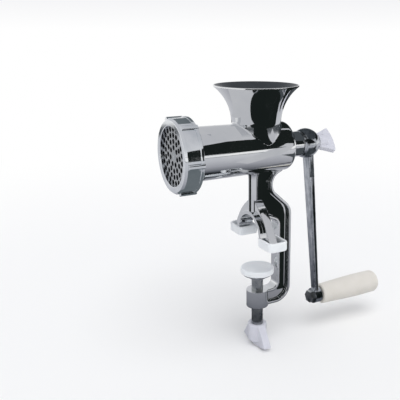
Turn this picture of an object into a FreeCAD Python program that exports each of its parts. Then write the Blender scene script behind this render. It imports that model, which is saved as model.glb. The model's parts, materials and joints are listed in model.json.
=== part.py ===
"""Hand crank meat grinder that clamps to a table edge.

Frame: millimetres, +Z up. The origin lies on the table top, midway between the two feet and on the
axis of the clamp screw. The outlet faces -Y, the crank is at +Y, and X runs across the stand.
"""

import FreeCAD, Part
import math
import os
import re
import Sketcher

SIZES = {
    # Clearances
    "fit_gap": 0.05,
    "running_gap": 0.3,
    "seat_gap": 0.1,
    "cut_margin": 1.0,
    # Stand, heights above the table top
    "axis_height": 96.0,
    "feet_back": 2.0,
    "post_diameter": 9.8,
    "post_forward": 3.2,
    "post_flare": 6.0,
    "post_flare_rise": 11.0,
    "post_flare_end": 20.0,
    "leg_top": 43.5,
    "leg_elbow": 30.0,
    "leg_elbow_reach": 22.0,
    "leg_elbow_round": 60.0,
    "leg_foot_reach": 38.5,
    "leg_forward": 0.5,
    "leg_thickness": 9.0,
    "arch_radius": 21.0,
    "arch_spring": 7.0,
    "arch_rim": 3.8,
    "arch_proud": 0.3,
    # Feet and their pads
    "foot_spacing": 61.0,
    "foot_width": 21.0,
    "foot_length": 16.7,
    "foot_height": 3.0,
    "foot_round": 3.2,
    "foot_inner_round": 1.0,
    "pad_gap": 0.15,
    "pad_wall": 2.3,
    "pad_floor": 2.6,
    "pad_height": 9.5,
    "pad_edge": 0.8,
    # Clamp arm
    "web_thickness": 6.0,
    "flange_width": 14.0,
    "flange_thickness": 3.2,
    "flange_round": 1.2,
    "throat_depth": 22.0,
    "knee_height": 19.6,
    "knee_round": 8.0,
    "arm_depth": 13.2,
    "hip_height": 31.2,
    "hip_round": 15.7,
    "waist_reach": 1.5,
    "waist_height": 63.3,
    "waist_round": 14.3,
    "flare_reach": 26.0,
    "flare_height": 72.2,
    "flare_round": 4.0,
    "throat_height": 57.0,
    "throat_round": 8.0,
    "jaw_height": 14.0,
    "heel_round": 16.0,
    "boss_diameter": 23.0,
    "boss_rise": 2.0,
    # Barrel
    "barrel_front_diameter": 52.0,
    "barrel_back_diameter": 49.6,
    "barrel_back": 28.3,
    "barrel_bore": 42.0,
    "bore_setback": 1.0,
    "dome_round": 5.5,
    "neck_diameter": 26.0,
    "neck_end": 49.8,
    "neck_edge": 1.2,
    "neck_blend": 1.5,
    "journal_diameter": 16.0,
    "mouth_diameter": 66.0,
    "mouth_length": 13.5,
    "mouth_setback": 0.6,
    "shoulder_length": 4.0,
    "chamber_diameter": 57.0,
    "chamber_length": 8.5,
    "chamber_cone": 5.5,
    # Hopper, heights above the barrel's axis
    "hopper_height": 62.0,
    "hopper_rim_diameter": 83.5,
    "hopper_rim_wall": 2.4,
    "hopper_rim_edge": 1.2,
    "hopper_neck_diameter": 48.6,
    "hopper_neck_height": 25.0,
    "hopper_throat": 40.0,
    "hopper_blend": 1.6,
    # Ring nut
    "ring_reach": 90.0,
    "ring_width": 18.0,
    "ring_lip": 3.0,
    "ring_opening": 56.0,
    "ring_face_diameter": 67.0,
    "ring_diameter": 70.4,
    "ring_bevel": 2.2,
    "ring_edge": 0.7,
    "collar_diameter": 72.4,
    "collar_width": 3.2,
    "lug_diameter": 75.2,
    "lug_width": 4.6,
    "lug_round": 1.4,
    "lug_count": 6,
    "ring_turn": -24.0,
    # Cutting set
    "plate_diameter": 62.0,
    "plate_thickness": 5.0,
    "plate_gap": 0.15,
    "plate_hole": 5.0,
    "plate_bridge": 1.8,
    "plate_pitch": 5.7,
    "plate_inner_circle": 16.4,
    "key_diameter": 2.0,
    "key_circle": 59.6,
    "key_depth": 3.5,
    "knife_thickness": 7.0,
    "knife_diameter": 54.0,
    "knife_hub_diameter": 20.0,
    "knife_root": 11.0,
    "knife_tip": 6.0,
    "knife_sweep": 5.0,
    "knife_wings": 4,
    # Auger
    "core_front_diameter": 17.0,
    "core_back_diameter": 23.0,
    "auger_collar_diameter": 35.0,
    "auger_collar_width": 4.0,
    "flight_gap": 0.5,
    "flight_pitch": 26.0,
    "flight_root": 6.0,
    "flight_tip": 3.6,
    "flight_sink": 2.0,
    "washer_diameter": 38.0,
    "washer_thickness": 2.0,
    "tail_square": 11.0,
    "tail_length": 17.5,
    "stud_diameter": 8.0,
    "stud_square": 9.6,
    "stud_depth": 14.0,
    # Crank
    "crank_length": 175.0,
    "hub_diameter": 30.8,
    "hub_seat_diameter": 18.0,
    "arm_setback": 3.1,
    "arm_lean": 15.7,
    "arm_start": 6.0,
    "arm_top_width": 13.5,
    "arm_top_thickness": 6.4,
    "arm_foot_width": 9.5,
    "arm_foot_thickness": 4.8,
    "arm_edge": 1.5,
    "eye_diameter": 17.0,
    "eye_length": 9.0,
    # Lock knob
    "lock_stud_diameter": 6.0,
    "lock_stud_engaged": 13.0,
    "hub_washer_diameter": 16.5,
    "hub_washer_thickness": 1.2,
    "knob_length": 20.0,
    "knob_hub_diameter": 15.0,
    "knob_hub_length": 10.0,
    "knob_waist": 15.0,
    "knob_span": 28.0,
    "knob_crown": 2.5,
    "knob_thickness": 6.0,
    "knob_socket": 9.0,
    "knob_turn": -41.0,
    # Grip
    "spindle_diameter": 7.0,
    "spindle_head_diameter": 11.0,
    "spindle_head_height": 3.5,
    "grip_length": 78.0,
    "grip_front_diameter": 22.0,
    "grip_belly_diameter": 26.0,
    "grip_belly_place": 48.0,
    "grip_belly_round": 400.0,
    "grip_back_diameter": 25.0,
    "grip_end_round": 5.0,
    "grip_front_round": 2.0,
    "grip_recess_diameter": 14.0,
    "grip_recess_depth": 6.0,
    "grip_washer_diameter": 15.0,
    "grip_washer_thickness": 1.2,
    "end_washer_diameter": 13.0,
    "nut_width": 12.0,
    "nut_height": 5.0,
    # Clamp screw, at rest on a table of this thickness
    "table_thickness": 30.0,
    "clamp_screw_diameter": 12.0,
    "clamp_screw_length": 68.5,
    "clamp_pin_diameter": 9.2,
    "disc_diameter": 31.0,
    "disc_thickness": 5.0,
    "disc_hub_diameter": 18.0,
    "disc_hub_height": 4.0,
    "disc_recess_diameter": 15.0,
    "disc_recess_depth": 2.6,
    "disc_pad_wall": 1.8,
    "disc_pad_floor": 2.5,
    "disc_pad_skirt": 3.5,
    "disc_pad_edge": 1.0,
    "clip_diameter": 13.0,
    "clip_thickness": 1.2,
    "clip_groove": 0.9,
    "clamp_knob_length": 25.0,
    "clamp_knob_hub_diameter": 20.0,
    "clamp_knob_hub_length": 19.0,
    "clamp_knob_waist": 19.0,
    "clamp_knob_span": 46.0,
    "clamp_knob_crown": 4.0,
    "clamp_knob_thickness": 8.0,
    "clamp_knob_socket": 17.0,
}
PLATE_RINGS = 4
SIDES = {"left": -1, "right": 1}

# Places along the barrel's axis, as distances from the hopper's axis towards the outlet
PLATE_FRONT = "(ring_reach - ring_lip - seat_gap)"
SEAT = f"({PLATE_FRONT} - plate_thickness)"
MOUTH_FRONT = f"({PLATE_FRONT} - mouth_setback)"
MOUTH_BACK = f"({MOUTH_FRONT} - mouth_length)"
CHAMBER_BACK = f"({SEAT} - chamber_length)"
KNIFE_FACE = f"({SEAT} - seat_gap)"
AUGER_FRONT = f"({KNIFE_FACE} - knife_thickness)"

# Places along the barrel's axis, as distances from the hopper's axis towards the crank
BORE_END = "(barrel_back - bore_setback)"
WASHER_FRONT = f"({BORE_END} - washer_thickness)"
COLLAR_BACK = f"({WASHER_FRONT} - seat_gap)"
COLLAR_FRONT = f"({COLLAR_BACK} - auger_collar_width)"
HUB_FRONT = "(neck_end + running_gap)"
HUB_CENTRE = f"({HUB_FRONT} + sqrt((hub_diameter / 2) ^ 2 - (neck_diameter / 2) ^ 2))"
HUB_BACK = f"({HUB_CENTRE} + sqrt((hub_diameter / 2) ^ 2 - (hub_seat_diameter / 2) ^ 2))"
TAIL_BACK = f"({HUB_FRONT} + tail_length)"
KNOB_FRONT = f"({HUB_BACK} + hub_washer_thickness + running_gap)"
ARM_TOP = f"({HUB_CENTRE} + arm_setback)"
EYE_MIDDLE = f"({ARM_TOP} + arm_lean)"
EYE_FRONT = f"({EYE_MIDDLE} - eye_length / 2)"
EYE_BACK = f"({EYE_MIDDLE} + eye_length / 2)"
GRIP_FRONT = f"({EYE_BACK} + grip_washer_thickness + running_gap)"
GRIP_BACK = f"({GRIP_FRONT} + grip_length)"
RECESS_FLOOR = f"({GRIP_BACK} - grip_recess_depth)"
END_WASHER_FRONT = f"({RECESS_FLOOR} + running_gap)"
HEAD_FRONT = f"({END_WASHER_FRONT} + grip_washer_thickness)"

# Places on the stand, seen from the point on the barrel's axis under the hopper
FOOT_BOTTOM = "(pad_floor - axis_height)"
ARCH_SPRING = "(arch_spring - axis_height)"
ARCH_TOP = f"({ARCH_SPRING} + arch_radius)"
ARCH_BOTTOM = "(pad_height + running_gap - axis_height)"
JAW_TOP = "(-axis_height - throat_height)"
JAW_BOTTOM = f"({JAW_TOP} - jaw_height)"
THROAT_BACK = "(feet_back + throat_depth)"
ARM_BACK = f"({THROAT_BACK} + arm_depth)"

# Heights on the clamp screw, seen from the top of its pad
DISC_TOP = "(-disc_pad_floor)"
DISC_BOTTOM = f"({DISC_TOP} - disc_thickness)"
DISC_HUB_BOTTOM = f"({DISC_BOTTOM} - disc_hub_height)"
DISC_RECESS = f"({DISC_TOP} - disc_recess_depth)"
CLIP_BOTTOM = f"({DISC_RECESS} + running_gap)"
SCREW_TOP = f"({DISC_HUB_BOTTOM} - running_gap)"
SCREW_BOTTOM = f"({SCREW_TOP} - clamp_screw_length)"
CLAMP_KNOB_TOP = f"({SCREW_BOTTOM} + clamp_knob_socket)"

doc = FreeCAD.newDocument("meat_grinder")
sheet = doc.addObject("Spreadsheet::Sheet", "size")


def fill_sheet():
    for row, (alias, number) in enumerate(SIZES.items(), start=1):
        sheet.set(f"A{row}", alias)
        sheet.set(f"B{row}", str(number))
        sheet.setAlias(f"B{row}", alias)
    doc.recompute()


def sized(text):
    """The expression with each size written as a reference to its cell."""
    return re.sub(r"[a-z][a-z_]*", lambda word: "size." * (word[0] in SIZES) + word[0], text)


def value(text):
    return float(sheet.evalExpression(sized(text)))


def bind(thing, path, text):
    thing.setExpression(path, sized(text))


def new_body(label, across="0", along="0", up="0", turn="0"):
    """A body whose own origin is placed in the part's frame and turned about its Y axis."""
    body = doc.addObject("PartDesign::Body", label)
    body.Label = label
    body.Placement.Rotation = FreeCAD.Rotation(FreeCAD.Vector(0, 1, 0), value(turn))
    bind(body, "Placement.Base.x", across)
    bind(body, "Placement.Base.y", along)
    bind(body, "Placement.Base.z", up)
    return body


def axis_body(label, turn="0"):
    """A body whose origin is on the barrel's axis, under the hopper."""
    return new_body(label, along="-feet_back", up="axis_height", turn=turn)


def grip_body(label):
    """A body whose origin is on the grip's axis, under the hopper."""
    return new_body(label, along="-feet_back", up="axis_height - crank_length")


def clamp_body(label):
    """A body whose origin is the middle of the clamp pad's top."""
    return new_body(label, up="-table_thickness")


def origin_feature(body, role):
    return next(feature for feature in body.Origin.OriginFeatures if feature.Role == role)


def new_sketch(body, name, plane, offset="0", slide="0"):
    """A sketch on one of the body's planes, moved along the plane's normal and along its first axis."""
    sketch = body.newObject("Sketcher::SketchObject", f"{body.Name}_{name}")
    sketch.AttachmentSupport = [(origin_feature(body, plane), "")]
    sketch.MapMode = "FlatFace"
    bind(sketch, "AttachmentOffset.Base.z", offset)
    bind(sketch, "AttachmentOffset.Base.x", slide)
    return sketch


def corner(across, along, round=None, bow=None, left=False):
    """A corner of an outline. round is the radius that the corner is rounded with, and bow the radius of
    the edge to the next corner, whose centre is on the right of the outline's way, or on its left."""
    return {"across": across, "along": along, "round": round, "bow": bow, "left": left}


def arc_between(centre, radius, start, end):
    """The arc that runs anticlockwise from start to end."""
    circle = Part.Circle(centre, FreeCAD.Vector(0, 0, 1), radius)
    angles = [math.atan2(point.y - centre.y, point.x - centre.x) for point in (start, end)]
    return Part.ArcOfCircle(circle, *angles)


def bowed_edge(start, end, radius, left):
    """The arc of an edge, and which of its two ends comes first along the outline."""
    chord = end - start
    side = FreeCAD.Vector(-chord.y, chord.x, 0).normalize() * (1 if left else -1)
    centre = (start + end) / 2 + side * math.sqrt(max(radius**2 - chord.Length**2 / 4, 0))
    if left:
        return arc_between(centre, radius, start, end), (1, 2)
    return arc_between(centre, radius, end, start), (2, 1)


def rounded_corner(before, here, after, radius):
    """The arc in a corner, where it leaves and joins the straight edges, and the order of its ends."""
    back = (before - here).normalize()
    ahead = (after - here).normalize()
    half = back.getAngle(ahead) / 2
    leave = here + back * (radius / math.tan(half))
    join = here + ahead * (radius / math.tan(half))
    centre = here + (back + ahead).normalize() * (radius / math.sin(half))
    if ahead.cross(back).z > 0:
        return arc_between(centre, radius, leave, join), leave, join, (1, 2)
    return arc_between(centre, radius, join, leave), leave, join, (2, 1)


class Rules:
    """The constraints of a sketch, each with the sizes that its value is bound to."""

    def __init__(self, sketch):
        self.sketch = sketch
        self.rules = []
        self.sizes = []

    def add(self, kind, *where, size=None):
        amount = [] if size is None else [value(size)]
        self.rules.append(Sketcher.Constraint(kind, *where, *amount))
        self.sizes.append(size)

    def place(self, geometry, tip, across, along):
        self.add("DistanceX", -1, 1, geometry, tip, size=across)
        self.add("DistanceY", -1, 1, geometry, tip, size=along)

    def apply(self):
        self.sketch.addConstraint(self.rules)
        for index, size in enumerate(self.sizes):
            if size is not None and sized(size) != size:
                bind(self.sketch, f"Constraints[{index}]", size)


def outline(sketch, corners, closed=True):
    """Draws the edges between corners and binds every corner and radius to its sizes."""
    count = len(corners)
    edges = count if closed else count - 1
    points = [FreeCAD.Vector(value(c["across"]), value(c["along"]), 0) for c in corners]
    starts = list(points)
    ends = points[1:] + points[:1]
    bends = {}
    for i, here in enumerate(corners):
        if here["round"]:
            after = points[(i + 1) % count]
            arc, leave, join, tips = rounded_corner(points[i - 1], points[i], after, value(here["round"]))
            bends[i] = (arc, tips)
            ends[i - 1] = leave
            starts[i] = join
    tips = []
    for i in range(edges):
        here = corners[i]
        if here["bow"]:
            edge, order = bowed_edge(starts[i], ends[i], value(here["bow"]), here["left"])
        else:
            edge, order = Part.LineSegment(starts[i], ends[i]), (1, 2)
        sketch.addGeometry(edge, False)
        tips.append(order)

    rules = Rules(sketch)
    for i, here in enumerate(corners):
        before = (i - 1) % count
        if i in bends:
            arc, order = bends[i]
            bend = sketch.addGeometry(arc, False)
            mark = sketch.addGeometry(Part.Point(points[i]), True)
            rules.add("Tangent", before, tips[before][1], bend, order[0])
            rules.add("Tangent", bend, order[1], i, tips[i][0])
            rules.add("Radius", bend, size=here["round"])
            rules.add("PointOnObject", mark, 1, before)
            rules.add("PointOnObject", mark, 1, i)
            rules.place(mark, 1, here["across"], here["along"])
            continue
        if closed or 0 < i < count - 1:
            rules.add("Coincident", before, tips[before][1], i, tips[i][0])
        edge, tip = (i, tips[i][0]) if i < edges else (before, tips[before][1])
        rules.place(edge, tip, here["across"], here["along"])
    for i in range(edges):
        if corners[i]["bow"]:
            rules.add("Radius", i, size=corners[i]["bow"])
    rules.apply()
    return sketch


def box(sketch, left, right, low, high, round=None):
    """A rectangle, with its corners rounded where a radius is given."""
    places = [(left, low), (right, low), (right, high), (left, high)]
    return outline(sketch, [corner(across, along, round) for across, along in places])


def square(sketch, width, along="0"):
    half = f"({width}) / 2"
    return box(sketch, f"-{half}", half, f"{along} - {half}", f"{along} + {half}")


def ring(sketch, diameter, across="0", along="0"):
    """A circle bound to its diameter and its centre."""
    centre = FreeCAD.Vector(value(across), value(along), 0)
    circle = Part.Circle(centre, FreeCAD.Vector(0, 0, 1), value(diameter) / 2)
    index = sketch.addGeometry(circle, False)
    rules = Rules(sketch)
    rules.place(index, 3, across, along)
    rules.add("Diameter", index, size=diameter)
    rules.apply()
    return sketch


def feature_of(body, kind, name, sketch):
    feature = body.newObject(f"PartDesign::{kind}", f"{body.Name}_{name}")
    feature.Profile = sketch
    return feature


def turned(body, name, corners, axis="H_Axis", slide="0", cut=False):
    """A solid or a cut of revolution about the sketch's first axis, or about its second, V_Axis."""
    sketch = outline(new_sketch(body, f"{name}_profile", "YZ_Plane", slide=slide), corners)
    feature = feature_of(body, "Groove" if cut else "Revolution", name, sketch)
    feature.ReferenceAxis = (sketch, [axis])
    feature.Angle = 360
    doc.recompute()
    return feature


def raised(body, name, sketch, length, both_ways=False, back=False):
    """A pad of the sketch along its normal, against it where back is set, or both ways."""
    feature = feature_of(body, "Pad", name, sketch)
    feature.SideType = "Symmetric" if both_ways else "One side"
    feature.Reversed = back
    bind(feature, "Length", length)
    doc.recompute()
    return feature


def sunk(body, name, sketch, depth, back=False):
    """A pocket of the sketch against its normal, or along it where back is set."""
    feature = feature_of(body, "Pocket", name, sketch)
    feature.Reversed = back
    bind(feature, "Length", depth)
    doc.recompute()
    return feature


def swept(body, name, profile, path):
    feature = feature_of(body, "AdditivePipe", name, profile)
    feature.Spine = path
    doc.recompute()
    return feature


def repeated(body, name, feature, copies):
    """Copies of a feature evenly spaced about the body's Y axis."""
    pattern = body.newObject("PartDesign::PolarPattern", f"{body.Name}_{name}")
    pattern.Originals = [feature]
    pattern.Axis = (origin_feature(body, "Y_Axis"), [""])
    pattern.Angle = 360
    bind(pattern, "Occurrences", copies)
    body.Tip = pattern
    doc.recompute()
    return pattern


def blended(body, name, base, parts, radius):
    """A fillet on named edges or faces of the feature before it."""
    feature = body.newObject("PartDesign::Fillet", f"{body.Name}_{name}")
    feature.Base = (base, parts)
    bind(feature, "Radius", radius)
    doc.recompute()
    return feature


def barrel_joint(shape, diameter):
    """The edges where an upright cylinder of this diameter meets the outside of the barrel."""

    def upright(face):
        surface = face.Surface
        is_post = isinstance(surface, Part.Cylinder) and abs(surface.Axis.z) > 0.999
        return is_post and abs(surface.Radius - value(diameter) / 2) < 1e-4

    def level(face):
        surface = face.Surface
        return isinstance(surface, (Part.Cone, Part.Cylinder)) and abs(surface.Axis.y) > 0.999

    names = []
    for number, edge in enumerate(shape.Edges, start=1):
        faces = shape.ancestorsOfType(edge, Part.Face)
        if any(upright(face) for face in faces) and any(level(face) for face in faces):
            names.append(f"Edge{number}")
    return names


def level_faces(shape, heights):
    """The flat horizontal faces at these heights."""
    names = []
    for number, face in enumerate(shape.Faces, start=1):
        flat = face.BoundBox.ZLength < 1e-6
        if flat and any(abs(face.BoundBox.ZMin - height) < 1e-4 for height in heights):
            names.append(f"Face{number}")
    return names


def flare(inner, outer, rise):
    """Radius of the arc that leaves a wall of radius inner upright and reaches outer after a rise."""
    run = f"(({outer}) - ({inner}))"
    return f"({run} ^ 2 + ({rise}) ^ 2) / (2 * {run})"


def crown(span, rise):
    """Radius of the arc over a span that rises this far in its middle."""
    return f"(({span}) ^ 2 / 4 + ({rise}) ^ 2) / (2 * ({rise}))"


def washer(body, name, front, thickness, outside, inside):
    """A ring about the body's Y axis, from front towards the crank."""
    back = f"{front} + {thickness}"
    outer = f"({outside}) / 2"
    inner = f"({inside}) / 2"
    turned(
        body,
        name,
        [corner(front, inner), corner(front, outer), corner(back, outer), corner(back, inner)],
    )
    return body


def add_barrel(body):
    neck = "neck_diameter / 2"
    rear = "(barrel_back + dome_round)"
    turned(
        body,
        "barrel",
        [
            corner(f"-{MOUTH_FRONT}", "0"),
            corner(f"-{MOUTH_FRONT}", "mouth_diameter / 2"),
            corner(f"-{MOUTH_BACK}", "mouth_diameter / 2"),
            corner(f"shoulder_length - {MOUTH_BACK}", "barrel_front_diameter / 2"),
            corner("barrel_back", "barrel_back_diameter / 2", bow="dome_round"),
            corner(rear, "barrel_back_diameter / 2 - dome_round"),
            corner(rear, neck, round="neck_blend"),
            corner("neck_end", neck, round="neck_edge"),
            corner("neck_end", "0"),
        ],
    )


def add_hopper(body):
    neck = "hopper_neck_diameter / 2"
    rim = "hopper_rim_diameter / 2"
    edge = "hopper_height - hopper_rim_edge"
    hopper = turned(
        body,
        "hopper",
        [
            corner("0", "0"),
            corner(neck, "0"),
            corner(neck, "hopper_neck_height", bow=flare(neck, rim, f"{edge} - hopper_neck_height")),
            corner(rim, edge),
            corner(rim, "hopper_height"),
            corner("0", "hopper_height"),
        ],
        axis="V_Axis",
    )
    blended(body, "hopper_blend", hopper, barrel_joint(hopper.Shape, "hopper_neck_diameter"), "hopper_blend")


def add_post(body):
    """A round post that widens upwards into the barrel."""
    post = "post_diameter / 2"
    head = f"({post} + post_flare)"
    foot = f"{ARCH_TOP} + arch_rim / 2"
    turned(
        body,
        "post",
        [
            corner("0", foot),
            corner(post, foot),
            corner(post, "-post_flare_end - post_flare_rise", bow=flare(post, head, "post_flare_rise")),
            corner(head, "-post_flare_end"),
            corner(head, "0"),
            corner("0", "0"),
        ],
        axis="V_Axis",
        slide="-post_forward",
    )


def add_legs(body):
    """A plate with an arch between the feet, and a deeper rim along the arch."""
    half_post = "post_diameter / 2"
    elbow = "leg_elbow - axis_height"
    top = "leg_top - axis_height"
    plate = outline(
        new_sketch(body, "leg_outline", "XZ_Plane", offset="leg_forward"),
        [
            corner("-arch_radius", FOOT_BOTTOM),
            corner("-arch_radius", ARCH_SPRING, bow="arch_radius"),
            corner("0", ARCH_TOP, bow="arch_radius"),
            corner("arch_radius", ARCH_SPRING),
            corner("arch_radius", FOOT_BOTTOM),
            corner("leg_foot_reach", FOOT_BOTTOM),
            corner("leg_elbow_reach", elbow, round="leg_elbow_round"),
            corner(half_post, top),
            corner(f"-{half_post}", top),
            corner("-leg_elbow_reach", elbow, round="leg_elbow_round"),
            corner("-leg_foot_reach", FOOT_BOTTOM),
        ],
    )
    raised(body, "legs", plate, "leg_thickness", both_ways=True)
    outer = "(arch_radius + arch_rim)"
    rise = f"({ARCH_BOTTOM} - {ARCH_SPRING})"
    outer_reach = f"sqrt({outer} ^ 2 - {rise} ^ 2)"
    inner_reach = f"sqrt(arch_radius ^ 2 - {rise} ^ 2)"
    rim = outline(
        new_sketch(body, "arch_outline", "XZ_Plane", offset="leg_forward"),
        [
            corner(f"-{outer_reach}", ARCH_BOTTOM, bow=outer),
            corner("0", f"{ARCH_TOP} + arch_rim", bow=outer),
            corner(outer_reach, ARCH_BOTTOM),
            corner(inner_reach, ARCH_BOTTOM, bow="arch_radius", left=True),
            corner("0", ARCH_TOP, bow="arch_radius", left=True),
            corner(f"-{inner_reach}", ARCH_BOTTOM),
        ],
    )
    raised(body, "arch", rim, f"2 * (post_forward + {half_post} + arch_proud - leg_forward)", both_ways=True)


def foot_section(sketch, sign, across, along, grow="0"):
    """The outline of a foot, widened all round. Its outer corners are rounder than its inner ones."""
    inside = f"{across} - {sign} * (foot_width / 2 + {grow})"
    outside = f"{across} + {sign} * (foot_width / 2 + {grow})"
    front = f"{along} - (foot_length / 2 + {grow})"
    back = f"{along} + (foot_length / 2 + {grow})"
    inner_round = f"foot_inner_round + {grow}"
    outer_round = f"foot_round + {grow}"
    return outline(
        sketch,
        [
            corner(inside, front, inner_round),
            corner(outside, front, outer_round),
            corner(outside, back, outer_round),
            corner(inside, back, inner_round),
        ],
    )


def add_feet(body):
    for side, sign in SIDES.items():
        sketch = new_sketch(body, f"foot_{side}", "XY_Plane", offset=FOOT_BOTTOM)
        foot_section(sketch, sign, f"{sign} * foot_spacing / 2", "feet_back")
        raised(body, f"foot_{side}_block", sketch, "foot_height")


def add_flange(body, name, corners):
    """A flange swept along an edge of the web, from a section at the jaw."""
    height = corners[0]["along"]
    section = box(
        new_sketch(body, f"{name}_section", "XZ_Plane", offset=f"-({corners[0]['across']})"),
        "-flange_width / 2",
        "flange_width / 2",
        f"{height} - flange_thickness / 2",
        f"{height} + flange_thickness / 2",
        round="flange_round",
    )
    path = outline(new_sketch(body, f"{name}_path", "YZ_Plane"), corners, closed=False)
    swept(body, name, section, path)


def add_clamp_arm(body):
    """A web in the plane of symmetry, with a flange along each of its two edges, and the jaw's boss."""
    flare_end = "(flare_reach + flare_round)"
    arch_middle = f"{ARCH_TOP} + arch_rim / 2"
    outer_edge = [
        corner("feet_back", JAW_BOTTOM),
        corner(ARM_BACK, JAW_BOTTOM, round="heel_round"),
        corner(ARM_BACK, "hip_height - axis_height", round="hip_round"),
        corner("waist_reach", "waist_height - axis_height", round="waist_round"),
        corner("flare_reach", "flare_height - axis_height", round="flare_round"),
        corner(flare_end, "-barrel_bore / 2 + flare_round"),
    ]
    inner_edge = [
        corner("feet_back + boss_diameter / 4", JAW_TOP),
        corner(THROAT_BACK, JAW_TOP, round="throat_round"),
        corner(THROAT_BACK, "knee_height - axis_height", round="knee_round"),
        corner("-leg_forward", arch_middle),
    ]
    top = [corner(flare_end, "0"), corner("-post_forward", "0"), corner("-post_forward", arch_middle)]
    front = [corner("feet_back", JAW_TOP)]
    sketch = new_sketch(body, "web_outline", "YZ_Plane")
    outline(sketch, outer_edge + top + inner_edge[:0:-1] + front)
    raised(body, "web", sketch, "web_thickness", both_ways=True)
    add_flange(body, "outer_flange", outer_edge)
    add_flange(body, "inner_flange", inner_edge)
    boss = ring(
        new_sketch(body, "boss_section", "XY_Plane", offset=f"{JAW_TOP} + boss_rise"),
        "boss_diameter",
        along="feet_back",
    )
    raised(body, "boss", boss, "jaw_height + 2 * boss_rise", back=True)


def cut_barrel(body):
    """The plate's recess, the knife's chamber, the auger's bore and the bearing behind it."""
    recess = "(plate_diameter / 2 + plate_gap)"
    chamber = "chamber_diameter / 2"
    bore = "barrel_bore / 2"
    bearing = "(journal_diameter / 2 + fit_gap)"
    turned(
        body,
        "bore",
        [
            corner(f"-{MOUTH_FRONT} - cut_margin", "0"),
            corner(f"-{MOUTH_FRONT} - cut_margin", recess),
            corner(f"-{SEAT}", recess),
            corner(f"-{SEAT}", chamber),
            corner(f"-{CHAMBER_BACK}", chamber),
            corner(f"chamber_cone - {CHAMBER_BACK}", bore),
            corner(BORE_END, bore),
            corner(BORE_END, bearing),
            corner("neck_end + cut_margin", bearing),
            corner("neck_end + cut_margin", "0"),
        ],
        cut=True,
    )
    key = ring(
        new_sketch(body, "key_section", "XZ_Plane", offset=SEAT),
        "key_diameter + 2 * fit_gap",
        along="-key_circle / 2",
    )
    sunk(body, "key_hole", key, "key_depth")


def cut_hopper(body):
    throat = "hopper_throat / 2"
    rim = "hopper_rim_diameter / 2 - hopper_rim_wall"
    bow = flare(throat, rim, "hopper_height - hopper_neck_height")
    turned(
        body,
        "funnel",
        [
            corner("0", "0"),
            corner(throat, "0"),
            corner(throat, "hopper_neck_height", bow=bow),
            corner(rim, "hopper_height"),
            corner(rim, "hopper_height + cut_margin"),
            corner("0", "hopper_height + cut_margin"),
        ],
        axis="V_Axis",
        cut=True,
    )


def make_housing():
    """One casting: barrel, hopper, post, legs and clamp arm."""
    body = axis_body("housing")
    add_barrel(body)
    add_hopper(body)
    add_post(body)
    add_legs(body)
    add_feet(body)
    add_clamp_arm(body)
    cut_barrel(body)
    cut_hopper(body)
    screw = ring(
        new_sketch(body, "screw_section", "XY_Plane", offset=f"{JAW_TOP} + boss_rise + cut_margin"),
        "clamp_screw_diameter + 2 * fit_gap",
        along="feet_back",
    )
    sunk(body, "screw_hole", screw, "jaw_height + 2 * boss_rise + 2 * cut_margin")
    return body


def make_foot_pad(side, sign):
    """A cap with a recess for the foot's block."""
    body = new_body(f"foot_pad_{side}", across=f"{sign} * foot_spacing / 2")
    outside = foot_section(new_sketch(body, "outside", "XY_Plane"), sign, "0", "0", "(pad_gap + pad_wall)")
    block = raised(body, "block", outside, "pad_height")
    faces = level_faces(block.Shape, [0, value("pad_height")])
    blended(body, "edges", block, faces, "pad_edge")
    inside = new_sketch(body, "inside", "XY_Plane", offset="pad_height")
    foot_section(inside, sign, "0", "0", "pad_gap")
    sunk(body, "recess", inside, "pad_height - pad_floor")
    return body


def make_ring_nut():
    """A ring with a lip in front of the plate, a collar at its back, grip lugs along its outside and a bore
    for the barrel's mouth."""
    body = axis_body("ring_nut", turn="ring_turn")
    thread = "mouth_diameter / 2 + seat_gap"
    opening = "ring_opening / 2"
    wall = "ring_diameter / 2"
    collar = "collar_diameter / 2"
    back = "(ring_width - ring_reach)"
    turned(
        body,
        "shell",
        [
            corner("-ring_reach", opening, round="ring_edge"),
            corner("-ring_reach", "ring_face_diameter / 2", round="ring_edge"),
            corner("ring_bevel - ring_reach", wall),
            corner(f"{back} - collar_width", wall),
            corner(f"{back} - collar_width", collar, round="ring_edge"),
            corner(back, collar, round="ring_edge"),
            corner(back, opening),
        ],
    )
    lug = box(
        new_sketch(body, "lug_section", "XZ_Plane", offset="ring_reach - ring_bevel"),
        "-lug_width / 2",
        "lug_width / 2",
        f"({wall} + {thread}) / 2 - lug_round",
        "lug_diameter / 2",
        round="lug_round",
    )
    first = raised(body, "lug", lug, "ring_width - ring_bevel", back=True)
    repeated(body, "lugs", first, "lug_count")
    turned(
        body,
        "bore",
        [
            corner("ring_lip - ring_reach", "0"),
            corner("ring_lip - ring_reach", thread),
            corner(f"{back} + cut_margin", thread),
            corner(f"{back} + cut_margin", "0"),
        ],
        cut=True,
    )
    return body


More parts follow.
